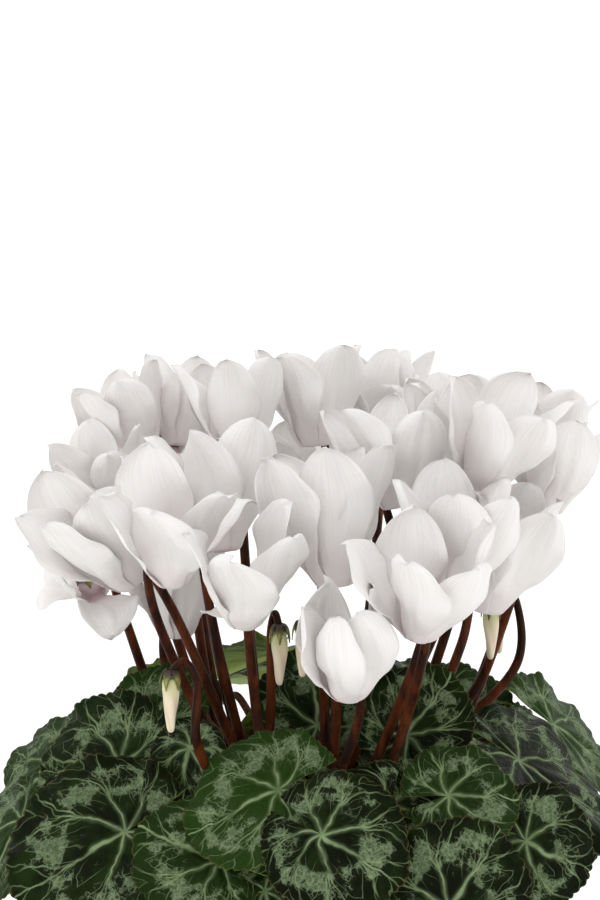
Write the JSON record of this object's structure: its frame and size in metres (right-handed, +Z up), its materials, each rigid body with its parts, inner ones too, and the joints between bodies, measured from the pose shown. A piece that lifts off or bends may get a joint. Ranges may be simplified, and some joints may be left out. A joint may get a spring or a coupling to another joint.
{
  "type": "potted cyclamen",
  "caption": "Florist's cyclamen in a plain round pot: white blooms with reflexed petals on hooked stalks over a skirt of heart-shaped marbled leaves.",
  "frame": {"origin": "middle of the pot's flat underside", "axes": "+Z up along the pot's axis, -Y towards the plant's front as seen, +X to the right"},
  "size_m": [0.2961, 0.3123, 0.3397],
  "materials": {
    "pot": "matt moulded",
    "soil": "loose peat",
    "tuber": "corky skin",
    "stalks": "smooth fleshy skin",
    "petals": "soft satin",
    "buds": "soft satin",
    "leaves": "satin, marbled"
  },
  "bodies": {
    "root": {"pot": "pot", "soil": "soil", "tuber": "tuber", "stalks": "stalks", "bloom_01": "petals", "bloom_02": "petals", "bloom_03": "petals", "bloom_04": "petals", "bloom_05": "petals", "bloom_06": "petals", "bloom_07": "petals", "bloom_08": "petals", "bloom_09": "petals", "bloom_10": "petals", "bloom_11": "petals", "bloom_12": "petals", "bloom_13": "petals", "bloom_14": "petals", "bloom_15": "petals", "bloom_16": "petals", "bloom_17": "petals", "bloom_18": "petals", "bloom_19": "petals", "bloom_20": "petals", "bloom_21": "petals", "bloom_22": "petals", "bloom_23": "petals", "bloom_24": "petals", "bloom_25": "petals", "bloom_26": "petals", "bud_01": "buds", "bud_02": "buds", "bud_03": "buds", "bud_04": "buds", "bud_05": "buds", "leaf_01": "leaves", "leaf_02": "leaves", "leaf_03": "leaves", "leaf_04": "leaves", "leaf_05": "leaves", "leaf_06": "leaves", "leaf_07": "leaves", "leaf_08": "leaves", "leaf_09": "leaves", "leaf_10": "leaves", "leaf_11": "leaves", "leaf_12": "leaves", "leaf_13": "leaves", "leaf_14": "leaves", "leaf_15": "leaves", "leaf_16": "leaves", "leaf_17": "leaves", "leaf_18": "leaves", "leaf_19": "leaves", "leaf_20": "leaves", "leaf_21": "leaves", "leaf_22": "leaves", "leaf_23": "leaves", "leaf_24": "leaves", "leaf_25": "leaves"}
  },
  "joints": []
}
